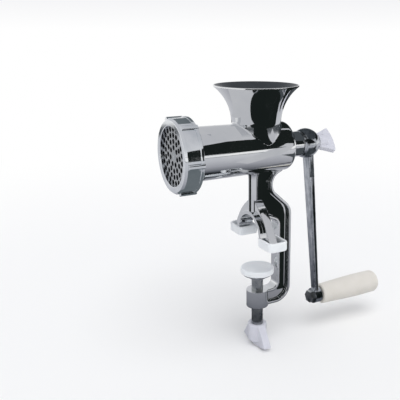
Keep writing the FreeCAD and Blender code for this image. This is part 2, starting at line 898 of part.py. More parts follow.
def make_cutting_plate():
    """A disc with rings of holes, a hole for the stud and a notch for the key."""
    body = axis_body("cutting_plate")
    disc = ring(new_sketch(body, "disc_outline", "XZ_Plane", offset=PLATE_FRONT), "plate_diameter")
    raised(body, "disc", disc, "plate_thickness", back=True)
    centre = ring(new_sketch(body, "centre", "XZ_Plane", offset=PLATE_FRONT), "stud_diameter + 2 * fit_gap")
    sunk(body, "centre_hole", centre, "plate_thickness")
    half = "(key_diameter / 2 + plate_gap)"
    notch = box(
        new_sketch(body, "notch_outline", "XZ_Plane", offset=PLATE_FRONT),
        f"-{half}",
        half,
        "-plate_diameter / 2 - cut_margin",
        f"{half} - key_circle / 2",
    )
    sunk(body, "notch", notch, "plate_thickness")
    for number in range(PLATE_RINGS):
        circle = f"(plate_inner_circle / 2 + {number} * plate_pitch)"
        sketch = new_sketch(body, f"hole_{number}", "XZ_Plane", offset=PLATE_FRONT)
        hole = sunk(body, f"first_hole_{number}", ring(sketch, "plate_hole", along=circle), "plate_thickness")
        repeated(body, f"holes_{number}", hole, f"floor(2 * pi * {circle} / (plate_hole + plate_bridge))")
    return body


def make_plate_key():
    """A pin in the plate's seat that reaches through the notch."""
    body = axis_body("plate_key")
    section = new_sketch(body, "section", "XZ_Plane", offset=PLATE_FRONT)
    pin = ring(section, "key_diameter", along="-key_circle / 2")
    raised(body, "pin", pin, "plate_thickness + key_depth", back=True)
    return body


def make_knife():
    """A hub with swept wings and a square hole for the stud."""
    body = axis_body("knife")
    hub = ring(new_sketch(body, "hub_outline", "XZ_Plane", offset=KNIFE_FACE), "knife_hub_diameter")
    raised(body, "hub", hub, "knife_thickness", back=True)
    tip = "sqrt((knife_diameter / 2) ^ 2 - (knife_sweep + knife_tip / 2) ^ 2)"
    wing = outline(
        new_sketch(body, "wing_outline", "XZ_Plane", offset=KNIFE_FACE),
        [
            corner("0", "-knife_root / 2"),
            corner(tip, "knife_sweep - knife_tip / 2"),
            corner(tip, "knife_sweep + knife_tip / 2"),
            corner("0", "knife_root / 2"),
        ],
    )
    first = raised(body, "wing", wing, "knife_thickness", back=True)
    repeated(body, "wings", first, "knife_wings")
    hole = square(new_sketch(body, "socket", "XZ_Plane", offset=KNIFE_FACE), "stud_square + 2 * fit_gap")
    sunk(body, "square_hole", hole, "knife_thickness")
    return body


def make_auger_stud():
    """A pin with a square for the knife, screwed into the auger and centred in the plate."""
    body = axis_body("auger_stud")
    shank = ring(new_sketch(body, "shank_section", "XZ_Plane", offset=PLATE_FRONT), "stud_diameter")
    raised(body, "shank", shank, f"{PLATE_FRONT} - {AUGER_FRONT} + stud_depth", back=True)
    flats = square(new_sketch(body, "square_section", "XZ_Plane", offset=KNIFE_FACE), "stud_square")
    raised(body, "square", flats, "knife_thickness", back=True)
    return body


def make_auger():
    """A tapered core with a left-hand flight, a collar, a bearing journal and a square tail."""
    body = axis_body("auger")
    journal = "journal_diameter / 2"
    collar = "auger_collar_diameter / 2"
    turned(
        body,
        "core",
        [
            corner(f"-{AUGER_FRONT}", "0"),
            corner(f"-{AUGER_FRONT}", "core_front_diameter / 2"),
            corner(COLLAR_FRONT, "core_back_diameter / 2"),
            corner(COLLAR_FRONT, collar),
            corner(COLLAR_BACK, collar),
            corner(COLLAR_BACK, journal),
            corner(HUB_FRONT, journal),
            corner(HUB_FRONT, "0"),
        ],
    )
    tail = square(new_sketch(body, "tail_section", "XZ_Plane", offset=f"-{HUB_FRONT}"), "tail_square")
    raised(body, "tail", tail, "tail_length", back=True)
    thread = ring(
        new_sketch(body, "thread_section", "XZ_Plane", offset=f"-{TAIL_BACK}"), "lock_stud_diameter"
    )
    sunk(body, "tail_thread", thread, "lock_stud_engaged + cut_margin", back=True)
    socket = ring(
        new_sketch(body, "socket_section", "XZ_Plane", offset=AUGER_FRONT), "stud_diameter + 2 * fit_gap"
    )
    sunk(body, "stud_socket", socket, "stud_depth + cut_margin")
    first = f"(flight_root / 2 - {AUGER_FRONT})"
    last = f"({COLLAR_FRONT} - flight_root / 2 + seat_gap)"
    root = "core_front_diameter / 2 - flight_sink"
    edge = "barrel_bore / 2 - flight_gap"
    section = outline(
        new_sketch(body, "flight_section", "YZ_Plane"),
        [
            corner(f"{first} - flight_root / 2", root),
            corner(f"{first} - flight_tip / 2", edge),
            corner(f"{first} + flight_tip / 2", edge),
            corner(f"{first} + flight_root / 2", root),
        ],
    )
    flight = feature_of(body, "AdditiveHelix", "flight", section)
    flight.ReferenceAxis = (section, ["H_Axis"])
    flight.Mode = "pitch-height-angle"
    flight.LeftHanded = True
    bind(flight, "Pitch", "flight_pitch")
    bind(flight, "Height", f"{last} - {first}")
    doc.recompute()
    return body


def make_thrust_washer():
    body = axis_body("thrust_washer")
    hole = "journal_diameter + 2 * running_gap"
    return washer(body, "ring", WASHER_FRONT, "washer_thickness", "washer_diameter", hole)


def make_crank_arm():
    """A ball hub with a square socket, a tapered arm that leans outwards, and an eye for the spindle."""
    body = axis_body("crank_arm")
    turned(
        body,
        "hub",
        [
            corner(HUB_FRONT, "0"),
            corner(HUB_FRONT, "neck_diameter / 2", bow="hub_diameter / 2"),
            corner(HUB_BACK, "hub_seat_diameter / 2"),
            corner(HUB_BACK, "0"),
        ],
    )
    start = f"({ARM_TOP} + arm_lean * arm_start / crank_length)"
    sections = []
    for name, drop, middle in (("top", "arm_start", start), ("foot", "crank_length", EYE_MIDDLE)):
        sections.append(
            box(
                new_sketch(body, f"arm_{name}", "XY_Plane", offset=f"-{drop}"),
                f"-arm_{name}_width / 2",
                f"arm_{name}_width / 2",
                f"{middle} - arm_{name}_thickness / 2",
                f"{middle} + arm_{name}_thickness / 2",
                round="arm_edge",
            )
        )
    arm = feature_of(body, "AdditiveLoft", "arm", sections[0])
    arm.Sections = sections[1:]
    arm.Ruled = True
    doc.recompute()
    eye = ring(
        new_sketch(body, "eye", "XZ_Plane", offset=f"-{EYE_FRONT}"), "eye_diameter", along="-crank_length"
    )
    raised(body, "eye_boss", eye, "eye_length", back=True)
    hole = ring(
        new_sketch(body, "spindle", "XZ_Plane", offset=f"-{EYE_FRONT}"),
        "spindle_diameter + 2 * fit_gap",
        along="-crank_length",
    )
    sunk(body, "spindle_hole", hole, "eye_length")
    socket = square(
        new_sketch(body, "socket", "XZ_Plane", offset=f"-{HUB_FRONT}"), "tail_square + 2 * fit_gap"
    )
    sunk(body, "square_socket", socket, "tail_length + running_gap")
    stud = ring(
        new_sketch(body, "stud", "XZ_Plane", offset=f"-{HUB_FRONT}"), "lock_stud_diameter + 2 * running_gap"
    )
    sunk(body, "stud_hole", stud, f"{HUB_BACK} - {HUB_FRONT}")
    return body


def make_hub_washer():
    body = axis_body("hub_washer")
    return washer(
        body,
        "ring",
        HUB_BACK,
        "hub_washer_thickness",
        "hub_washer_diameter",
        "lock_stud_diameter + 2 * running_gap",
    )


def make_lock_stud():
    body = axis_body("lock_stud")
    stud = ring(
        new_sketch(body, "section", "XZ_Plane", offset=f"lock_stud_engaged - {TAIL_BACK}"),
        "lock_stud_diameter - 2 * fit_gap",
    )
    raised(body, "stud", stud, f"lock_stud_engaged - {TAIL_BACK} + {KNOB_FRONT} + knob_socket", back=True)
    return body


def wing(sketch, low, high, waist, span, rise):
    """A fan that widens from waist to span and ends in a crown. low and high run along the first axis."""
    return outline(
        sketch,
        [
            corner(low, f"{waist} / 2"),
            corner(f"{high} - {rise}", f"{span} / 2", bow=crown(span, rise)),
            corner(f"{high} - {rise}", f"-{span} / 2"),
            corner(low, f"-{waist} / 2"),
        ],
    )


def make_lock_knob():
    """A hub on the stud with a flat wing for the fingers."""
    body = axis_body("lock_knob", turn="knob_turn")
    hub = "knob_hub_diameter / 2"
    hub_back = f"{KNOB_FRONT} + knob_hub_length"
    turned(
        body,
        "hub",
        [corner(KNOB_FRONT, "0"), corner(KNOB_FRONT, hub), corner(hub_back, hub), corner(hub_back, "0")],
    )
    blade = wing(
        new_sketch(body, "wing_outline", "YZ_Plane"),
        KNOB_FRONT,
        f"({KNOB_FRONT} + knob_length)",
        "knob_waist",
        "knob_span",
        "knob_crown",
    )
    raised(body, "wing", blade, "knob_thickness", both_ways=True)
    socket = ring(new_sketch(body, "socket", "XZ_Plane", offset=f"-{KNOB_FRONT}"), "lock_stud_diameter")
    sunk(body, "stud_socket", socket, "knob_socket")
    return body


def make_grip():
    """A turned handle with a bore for the spindle and a recess for its head."""
    body = grip_body("grip")
    bore = "spindle_diameter / 2 + fit_gap"
    recess = "grip_recess_diameter / 2"
    turned(
        body,
        "handle",
        [
            corner(GRIP_FRONT, bore),
            corner(GRIP_FRONT, "grip_front_diameter / 2", round="grip_front_round"),
            corner(f"{GRIP_FRONT} + grip_belly_place", "grip_belly_diameter / 2", round="grip_belly_round"),
            corner(GRIP_BACK, "grip_back_diameter / 2", round="grip_end_round"),
            corner(GRIP_BACK, recess),
            corner(RECESS_FLOOR, recess),
            corner(RECESS_FLOOR, bore),
        ],
    )
    return body


def make_grip_spindle():
    """A headed spindle that passes through the grip and the eye into its nut."""
    body = grip_body("grip_spindle")
    shank = "spindle_diameter / 2"
    head = "spindle_head_diameter / 2"
    end = f"{EYE_FRONT} - nut_height"
    head_back = f"{HEAD_FRONT} + spindle_head_height"
    turned(
        body,
        "spindle",
        [
            corner(end, "0"),
            corner(end, shank),
            corner(HEAD_FRONT, shank),
            corner(HEAD_FRONT, head),
            corner(head_back, head),
            corner(head_back, "0"),
        ],
    )
    return body


def make_grip_washers():
    hole = "spindle_diameter + 2 * fit_gap"
    inner = grip_body("grip_washer")
    washer(inner, "ring", EYE_BACK, "grip_washer_thickness", "grip_washer_diameter", hole)
    outer = grip_body("grip_end_washer")
    washer(outer, "ring", END_WASHER_FRONT, "grip_washer_thickness", "end_washer_diameter", hole)
    return [inner, outer]


def make_spindle_nut():
    body = grip_body("spindle_nut")
    reach = "nut_width / sqrt(3)"
    front = f"nut_height - {EYE_FRONT}"
    angles = [math.radians(60 * k) for k in range(6)]
    hexagon = outline(
        new_sketch(body, "outline", "XZ_Plane", offset=front),
        [corner(f"{reach} * {math.cos(a):.9f}", f"{reach} * {math.sin(a):.9f}") for a in angles],
    )
    raised(body, "nut", hexagon, "nut_height", back=True)
    hole = ring(new_sketch(body, "hole", "XZ_Plane", offset=front), "spindle_diameter + 2 * fit_gap")
    sunk(body, "thread", hole, "nut_height")
    return body


def make_clamp_screw():
    """A screw with a pin through the disc and a groove for the clip."""
    body = clamp_body("clamp_screw")
    pin = "clamp_pin_diameter / 2"
    groove = f"({pin} - clip_groove)"
    screw = "clamp_screw_diameter / 2"
    pin_top = f"{DISC_TOP} - running_gap"
    clip_top = f"{CLIP_BOTTOM} + clip_thickness + fit_gap"
    turned(
        body,
        "screw",
        [
            corner("0", SCREW_BOTTOM),
            corner(screw, SCREW_BOTTOM),
            corner(screw, SCREW_TOP),
            corner(pin, SCREW_TOP),
            corner(pin, f"{CLIP_BOTTOM} - fit_gap"),
            corner(groove, f"{CLIP_BOTTOM} - fit_gap"),
            corner(groove, clip_top),
            corner(pin, clip_top),
            corner(pin, pin_top),
            corner("0", pin_top),
        ],
        axis="V_Axis",
    )
    return body


def make_clamp_clip():
    """A ring in the screw's groove that keeps the disc on its pin."""
    body = clamp_body("clamp_clip")
    inner = "clamp_pin_diameter / 2 - clip_groove + fit_gap"
    outer = "clip_diameter / 2"
    top = f"{CLIP_BOTTOM} + clip_thickness"
    turned(
        body,
        "ring",
        [corner(inner, CLIP_BOTTOM), corner(outer, CLIP_BOTTOM), corner(outer, top), corner(inner, top)],
        axis="V_Axis",
    )
    return body


def make_clamp_disc():
    body = clamp_body("clamp_disc")
    hole = "clamp_pin_diameter / 2 + fit_gap"
    hub = "disc_hub_diameter / 2"
    rim = "disc_diameter / 2"
    recess = "disc_recess_diameter / 2"
    turned(
        body,
        "disc",
        [
            corner(hole, DISC_HUB_BOTTOM),
            corner(hub, DISC_HUB_BOTTOM),
            corner(hub, DISC_BOTTOM),
            corner(rim, DISC_BOTTOM),
            corner(rim, DISC_TOP),
            corner(recess, DISC_TOP),
            corner(recess, DISC_RECESS),
            corner(hole, DISC_RECESS),
        ],
        axis="V_Axis",
    )
    return body


def make_clamp_disc_pad():
    """A cap over the disc that presses on the table's underside."""
    body = clamp_body("clamp_disc_pad")
    inside = "(disc_diameter / 2 + fit_gap)"
    outside = f"({inside} + disc_pad_wall)"
    skirt = f"({DISC_TOP} - disc_pad_skirt)"
    turned(
        body,
        "cap",
        [
            corner("0", DISC_TOP),
            corner(inside, DISC_TOP),
            corner(inside, skirt),
            corner(outside, skirt),
            corner(outside, "0", round="disc_pad_edge"),
            corner("0", "0"),
        ],
        axis="V_Axis",
    )
    return body


def make_clamp_knob():
    """A hub on the foot of the screw with a wide wing."""
    body = clamp_body("clamp_knob")
    hub = ring(new_sketch(body, "hub_section", "XY_Plane", offset=CLAMP_KNOB_TOP), "clamp_knob_hub_diameter")
    raised(body, "hub", hub, "clamp_knob_hub_length", back=True)
    span = "clamp_knob_span"
    waist = "clamp_knob_waist"
    foot = f"{CLAMP_KNOB_TOP} - clamp_knob_length"
    blade = outline(
        new_sketch(body, "wing_outline", "XZ_Plane"),
        [
            corner(f"{waist} / 2", CLAMP_KNOB_TOP),
            corner(f"{span} / 2", f"{foot} + clamp_knob_crown", bow=crown(span, "clamp_knob_crown")),
            corner(f"-{span} / 2", f"{foot} + clamp_knob_crown"),
            corner(f"-{waist} / 2", CLAMP_KNOB_TOP),
        ],
    )
    raised(body, "wing", blade, "clamp_knob_thickness", both_ways=True)
    socket = ring(
        new_sketch(body, "socket", "XY_Plane", offset=CLAMP_KNOB_TOP), "clamp_screw_diameter + 2 * fit_gap"
    )
    sunk(body, "screw_socket", socket, "clamp_knob_socket")
    return body


def check(parts):
    """Stops if anything failed to build, or if a cut removed nothing."""
    for thing in doc.Objects:
        if "Invalid" in thing.State or "Error" in thing.State:
            raise RuntimeError(f"{thing.Name} failed: {thing.State}")
        if thing.TypeId in ("PartDesign::Pocket", "PartDesign::Groove"):
            if thing.Shape.Volume > thing.BaseFeature.Shape.Volume - 1e-3:
                raise RuntimeError(f"{thing.Name} cuts nothing")
    for part in parts:
        shape = part.Shape
        if shape.isNull() or not shape.isValid() or len(shape.Solids) != 1:
            raise RuntimeError(f"{part.Label} is not one valid solid")


def main():
    fill_sheet()
    parts = [make_housing()]
    parts += [make_foot_pad(side, sign) for side, sign in SIDES.items()]
    parts += [make_ring_nut(), make_cutting_plate(), make_plate_key(), make_knife(), make_auger_stud()]
    parts += [make_auger(), make_thrust_washer(), make_crank_arm(), make_hub_washer()]
    parts += [make_lock_stud(), make_lock_knob(), make_grip(), make_grip_spindle()]
    parts += make_grip_washers()
    parts += [make_spindle_nut(), make_clamp_screw(), make_clamp_clip(), make_clamp_disc()]
    parts += [make_clamp_disc_pad(), make_clamp_knob()]
    doc.recompute()
    check(parts)
    os.makedirs("parts", exist_ok=True)
    for part in parts:
        part.Shape.exportStep(f"parts/{part.Label}.step")
        print(f"{part.Label}: {part.Shape.Volume / 1000:.2f} cm3")


main()
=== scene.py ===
import bmesh
import bpy
import json
import math
from mathutils import Matrix, Vector


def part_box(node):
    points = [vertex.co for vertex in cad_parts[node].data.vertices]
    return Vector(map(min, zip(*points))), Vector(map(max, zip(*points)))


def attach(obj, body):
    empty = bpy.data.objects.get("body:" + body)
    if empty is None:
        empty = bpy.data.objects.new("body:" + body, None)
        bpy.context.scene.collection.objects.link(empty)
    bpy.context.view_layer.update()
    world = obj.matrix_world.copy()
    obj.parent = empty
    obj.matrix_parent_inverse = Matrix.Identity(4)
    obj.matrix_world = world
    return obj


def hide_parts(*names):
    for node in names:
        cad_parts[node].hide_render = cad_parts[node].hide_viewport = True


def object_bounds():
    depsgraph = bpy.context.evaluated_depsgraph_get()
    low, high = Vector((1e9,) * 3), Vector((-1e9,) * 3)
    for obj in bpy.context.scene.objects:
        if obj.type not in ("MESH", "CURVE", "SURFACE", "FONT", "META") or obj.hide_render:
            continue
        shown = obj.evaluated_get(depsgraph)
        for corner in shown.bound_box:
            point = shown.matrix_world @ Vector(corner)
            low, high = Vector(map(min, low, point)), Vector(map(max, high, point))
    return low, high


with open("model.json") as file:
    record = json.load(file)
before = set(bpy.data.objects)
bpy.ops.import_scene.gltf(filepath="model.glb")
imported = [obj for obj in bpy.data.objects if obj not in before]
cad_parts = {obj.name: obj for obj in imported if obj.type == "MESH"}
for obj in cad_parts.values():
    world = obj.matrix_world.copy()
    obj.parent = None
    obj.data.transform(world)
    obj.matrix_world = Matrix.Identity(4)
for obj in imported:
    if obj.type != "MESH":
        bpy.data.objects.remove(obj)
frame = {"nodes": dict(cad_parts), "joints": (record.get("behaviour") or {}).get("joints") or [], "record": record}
cad_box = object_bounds()

# One millimetre in the frame's metres
MM = 0.001

# Viewpoint: its place in millimetres, its angles in degrees, and how near and far it sees in metres
VIEW_CENTRE = Vector((507.9, -291.2, 208.7)) * MM
VIEW_AZIMUTH = 59.45
VIEW_ELEVATION = 14.63
VIEW_ROLL = 0.41
VIEW_REACH = (0.02, 60.0)

# Picture, in pixels: its width, the focal length, and the point that the viewing axis meets
PICTURE = 400
VIEW_FOCUS = 600.18
VIEW_AXIS = (265, 187)

# Width of the camera's sensor, in millimetres
SENSOR = 36.0

# Floor: half its side, its drop below the part, where its fade starts and ends, and the span of its shades
# in the metal, all in metres, and its colour
FLOOR_HALF = 12.0
FLOOR_DROP = 0.4 * MM
FLOOR_FADES = (0.30, 1.10)
FLOOR_SPAN = 2.0
PAPER = "#f6f6f5"

# Painted shades that the floor shows in the metal instead of the lit paper: how far along the span, and the
# colour there; dark under the object as painted shade, with a painted dark strip further off
FLOOR_PAINTED_IN_METAL = [
    (0.00, "#1e2124"),
    (0.030, "#24282b"),
    (0.042, "#5c5f66"),
    (0.060, "#84868d"),
    (0.10, "#a9aab1"),
    (0.16, "#bcbdc3"),
    (0.25, "#c9cacf"),
    (0.45, "#d0d1d6"),
    (0.69, "#d2d3d7"),
    (0.72, "#4c5054"),
    (0.80, "#4c5054"),
    (0.83, "#fafafa"),
]

# Shades of the room: how steeply up, from level to overhead, and the colour there
ROOM = [(0.0, "#ffffff"), (0.05, "#f4f4f6"), (0.35, "#d6d7da"), (1.0, "#c2c3c8")]

# Soft lamp: its spread in degrees, its strength, and the way it shines
LAMP_SPREAD = 50.0
LAMP_STRENGTH = 1.4
LAMP_AIM = (-0.45, 0.15, -1.0)

# Web of the clamp arm between its flanges, along Y and up, and the place of its card, all in millimetres
WEB = [
    (24.5, -62),
    (33.3, -62),
    (33.3, 22),
    (31.5, 29.5),
    (28.3, 34.6),
    (16, 45.9),
    (12.3, 52),
    (11, 60.5),
    (14, 67),
    (18, 70.5),
    (0, 70.5),
    (0, 31.5),
    (18, 23.3),
    (22, 20),
    (24.5, 14),
]
WEB_CARD_X = 8.0
WEB_CARD_SHIFT = (0.8, -0.5)

# Hopper, in millimetres: its axis, the height of its neck, and the middle of its wall at neck and rim
HOPPER_Y = -2.0
HOPPER_NECK = 121.0
HOPPER_WALL = (22.1, 40.6)

# Inside of the hopper: its colours, darkened there as painted shade, and the roughness of metal the buff can't
# reach
HOPPER_SHADE_COLOURS = ("#43474a", "#5a5e61")
RAW_ROUGHNESS = 0.38

# Clamp screw, in millimetres: its thread, whose ridge is narrow on its inner side, and the pin on top
THREAD_PITCH = 2.0
THREAD_DEPTH = 0.9
RIDGE_INNER = 0.5
SHOULDER_GAP = 0.3
PIN_RADIUS = 4.6

# The share of the pitch that the ridge's broad outer side takes, the turn in degrees that faces that side
# outwards, the steps in one round, and the angle in degrees past which an edge is sharp
RIDGE_OUTER = 0.9
RIDGE_TURN = 90.0
THREAD_STEPS = 40
SHARP_EDGE = 30.0

# Finishes: the samples taken for a soft edge, and the range of a noise's values that is put to use
EDGE_SAMPLES = 6
NOISE_RANGE = (0.3, 0.7)

# Copies of CAD meshes: the reach in millimetres within which corners are joined, and the pull of one pass of
# smoothing
JOIN_REACH = 0.002
SMOOTHING = 0.5


def linear(code):
    """An sRGB colour, written #rrggbb, in Blender's linear values."""
    parts = [int(code[i : i + 2], 16) / 255 for i in (1, 3, 5)]
    return (*(p / 12.92 if p <= 0.04045 else ((p + 0.055) / 1.055) ** 2.4 for p in parts), 1.0)


def per_metre(size):
    """The scale of a pattern on metres whose marks are this many millimetres apart."""
    return 1 / (size * MM)


def joint_place(joint):
    """A point on a joint's axis, in metres."""
    return Vector(next(j["pos_m"] for j in frame["joints"] if j["name"] == joint))


def add_node(tree, kind, inputs=None, **settings):
    """A node with its settings. An input takes a value, or the socket that feeds it."""
    made = tree.nodes.new(kind)
    for name, setting in settings.items():
        setattr(made, name, setting)
    for socket, source in (inputs or {}).items():
        if isinstance(source, bpy.types.NodeSocket):
            tree.links.new(source, made.inputs[socket])
        else:
            made.inputs[socket].default_value = source
    return made


def set_ramp(node, stops):
    """Gives a colour ramp these stops, each a place from 0 to 1 and a colour."""
    marks = node.color_ramp.elements
    while len(marks) < len(stops):
        marks.new(1.0)
    for mark, (place, code) in zip(marks, stops):
        mark.position = place
        mark.color = linear(code)


def new_material(name, **sockets):
    """A material with a Principled shader, whose uniform values are set on its own sockets."""
    material = bpy.data.materials.new(name)
    material.use_nodes = True
    tree = material.node_tree
    shader = tree.nodes["Principled BSDF"]
    for socket, value in sockets.items():
        shader.inputs[socket.replace("_", " ")].default_value = value
    place = add_node(tree, "ShaderNodeTexCoord").outputs["Object"]
    return material, tree, shader, place


def feed(shader, **sources):
    """Links these sources to the shader's sockets of the same names."""
    for socket, source in sources.items():
        shader.id_data.links.new(source, shader.inputs[socket.replace("_", " ")])


def relief(tree, height, strength, depth, edge):
    """Normals of a surface with a relief of this depth, its edges eased by this radius, in millimetres."""
    eased = add_node(tree, "ShaderNodeBevel", {"Radius": edge * MM}, samples=EDGE_SAMPLES)
    bump = add_node(
        tree,
        "ShaderNodeBump",
        {
            "Height": height,
            "Strength": strength,
            "Distance": depth * MM,
            "Normal": eased.outputs["Normal"],
        },
    )
    return bump.outputs["Normal"]


def inside_hopper(tree, place):
    """1 on the hopper's inner wall and 0 elsewhere: above the barrel's axis, and nearer to the hopper's axis
    than the middle of its wall, which widens from neck to rim as a parabola does."""
    from_axis = add_node(
        tree, "ShaderNodeVectorMath", {0: place, 1: (0.0, HOPPER_Y * MM, 0.0)}, operation="SUBTRACT"
    )
    level = add_node(
        tree, "ShaderNodeVectorMath", {0: from_axis.outputs[0], 1: (1.0, 1.0, 0.0)}, operation="MULTIPLY"
    )
    radius = add_node(
        tree, "ShaderNodeVectorMath", {0: level.outputs[0]}, operation="LENGTH"
    ).outputs["Value"]
    height = add_node(tree, "ShaderNodeSeparateXYZ", {0: place}).outputs["Z"]
    rise = add_node(
        tree,
        "ShaderNodeMapRange",
        {"Value": height, "From Min": HOPPER_NECK * MM, "From Max": cad_box[1][2]},
    ).outputs["Result"]
    square = add_node(tree, "ShaderNodeMath", {0: rise, 1: rise}, operation="MULTIPLY").outputs[0]
    neck, rim = HOPPER_WALL
    wall = add_node(
        tree, "ShaderNodeMath", {0: square, 1: (rim - neck) * MM, 2: neck * MM}, operation="MULTIPLY_ADD"
    ).outputs[0]
    within = add_node(tree, "ShaderNodeMath", {0: radius, 1: wall}, operation="LESS_THAN").outputs[0]
    above = add_node(
        tree, "ShaderNodeMath", {0: height, 1: joint_place("crank_turn").z}, operation="GREATER_THAN"
    ).outputs[0]
    return add_node(tree, "ShaderNodeMath", {0: within, 1: above}, operation="MULTIPLY").outputs[0]


def polished_aluminium(name, colours, gloss, blotch, wave, swell=22.0, edge=0.5, raw_and_shaded_inside=False):
    """Cast aluminium, ground and buffed: a mirror that is faintly wavy, cloudier where the buff pressed
    less, with soft bright edges. Inside the hopper, where the buff can't reach, it is dull, and darker there as
    painted shade."""
    material, tree, shader, place = new_material(name, Metallic=1.0)
    cloud = add_node(
        tree, "ShaderNodeTexNoise", {"Vector": place, "Scale": per_metre(blotch), "Detail": 3.0}
    ).outputs["Fac"]
    rough = add_node(
        tree,
        "ShaderNodeMapRange",
        {
            "Value": cloud,
            "From Min": NOISE_RANGE[0],
            "From Max": NOISE_RANGE[1],
            "To Min": gloss[0],
            "To Max": gloss[1],
        },
    ).outputs["Result"]
    buffed = add_node(tree, "ShaderNodeValToRGB", {"Fac": cloud})
    set_ramp(buffed, [(0.25, colours[0]), (0.75, colours[1])])
    tint = buffed.outputs["Color"]
    # Inside the hopper the colour is darkened as painted shade, and the metal is as rough as unbuffed metal
    if raw_and_shaded_inside:
        inside = inside_hopper(tree, place)
        inside_shade = add_node(tree, "ShaderNodeValToRGB", {"Fac": cloud})
        set_ramp(inside_shade, [(0.25, HOPPER_SHADE_COLOURS[0]), (0.75, HOPPER_SHADE_COLOURS[1])])
        tint = add_node(
            tree,
            "ShaderNodeMix",
            {"Factor": inside, "A": tint, "B": inside_shade.outputs["Color"]},
            data_type="RGBA",
        ).outputs[2]
        rough = add_node(
            tree, "ShaderNodeMix", {"Factor": inside, "A": rough, "B": RAW_ROUGHNESS}
        ).outputs[0]
    waves = add_node(
        tree, "ShaderNodeTexNoise", {"Vector": place, "Scale": per_metre(swell), "Detail": 0.0}
    ).outputs["Fac"]
    feed(shader, Base_Color=tint, Roughness=rough, Normal=relief(tree, waves, 1.0, wave, edge))
    return material


def handled_alloy(streak, stretch, smudge, smudge_share, depth, edge, gloss):
    """Die-cast alloy polished by hand and much handled: smoky, streaked along the arm and mottled by
    finger marks, which blur its reflections here and there."""
    material, tree, shader, place = new_material("handled_polished_alloy", Metallic=1.0)
    along = add_node(tree, "ShaderNodeMapping", {"Vector": place, "Scale": (1.0, 1.0, stretch)})
    streaks = add_node(
        tree,
        "ShaderNodeTexNoise",
        {"Vector": along.outputs["Vector"], "Scale": per_metre(streak), "Detail": 3.0, "Roughness": 0.6},
    ).outputs["Fac"]
    smudges = add_node(
        tree, "ShaderNodeTexNoise", {"Vector": place, "Scale": per_metre(smudge), "Detail": 4.0}
    ).outputs["Fac"]
    both = add_node(
        tree, "ShaderNodeMix", {"Factor": smudge_share, "A": streaks, "B": smudges}
    ).outputs[0]
    tint = add_node(tree, "ShaderNodeValToRGB", {"Fac": both})
    set_ramp(tint, [(0.34, "#8d9298"), (0.5, "#bfc3c8"), (0.66, "#e2e4e7")])
    rough = add_node(
        tree,
        "ShaderNodeMapRange",
        {
            "Value": smudges,
            "From Min": NOISE_RANGE[0],
            "From Max": NOISE_RANGE[1],
            "To Min": gloss[0],
            "To Max": gloss[1],
        },
    )
    feed(
        shader,
        Base_Color=tint.outputs["Color"],
        Roughness=rough.outputs["Result"],
        Normal=relief(tree, both, 1.0, depth, edge),
    )
    return material


def cast_aluminium(grain, depth):
    """Cast aluminium as it leaves the tumbler: dull grey with a fine even grain."""
    material, tree, shader, place = new_material("tumbled_cast_aluminium", Metallic=1.0, Roughness=0.42)
    grit = add_node(
        tree, "ShaderNodeTexNoise", {"Vector": place, "Scale": per_metre(grain), "Detail": 4.0}
    ).outputs["Fac"]
    tint = add_node(tree, "ShaderNodeValToRGB", {"Fac": grit})
    set_ramp(tint, [(0.0, "#8f9295"), (1.0, "#c3c5c7")])
    bump = add_node(tree, "ShaderNodeBump", {"Height": grit, "Strength": 0.4, "Distance": depth * MM})
    feed(shader, Base_Color=tint.outputs["Color"], Normal=bump.outputs["Normal"])
    return material


def ground_steel(ring, gloss):
    """Tool steel ground on a turntable: concentric marks about the barrel's axis, streaked by light."""
    material, tree, shader, place = new_material("ground_tool_steel", Metallic=1.0)
    centred = add_node(
        tree, "ShaderNodeMapping", {"Vector": place, "Location": -joint_place("crank_turn")}
    )
    rings = add_node(
        tree,
        "ShaderNodeTexWave",
        {"Vector": centred.outputs["Vector"], "Scale": per_metre(ring), "Distortion": 1.5, "Detail": 3.0},
        wave_type="RINGS",
        rings_direction="Y",
    ).outputs["Fac"]
    tint = add_node(tree, "ShaderNodeValToRGB", {"Fac": rings})
    set_ramp(tint, [(0.0, "#9a9da0"), (1.0, "#bcbec0")])
    rough = add_node(tree, "ShaderNodeMapRange", {"Value": rings, "To Min": gloss[0], "To Max": gloss[1]})
    feed(shader, Base_Color=tint.outputs["Color"], Roughness=rough.outputs["Result"])
    return material


def zinc_plated_steel(bloom, gloss):
    """Turned steel with bright zinc: clean grey with a faint cloudy bloom."""
    material, tree, shader, place = new_material("zinc_plated_steel", Metallic=1.0)
    cloud = add_node(
        tree, "ShaderNodeTexNoise", {"Vector": place, "Scale": per_metre(bloom), "Detail": 4.0}
    ).outputs["Fac"]
    tint = add_node(tree, "ShaderNodeValToRGB", {"Fac": cloud})
    set_ramp(tint, [(0.3, "#a3a8ad"), (0.7, "#c4c6c4")])
    rough = add_node(tree, "ShaderNodeMapRange", {"Value": cloud, "To Min": gloss[0], "To Max": gloss[1]})
    feed(shader, Base_Color=tint.outputs["Color"], Roughness=rough.outputs["Result"])
    return material


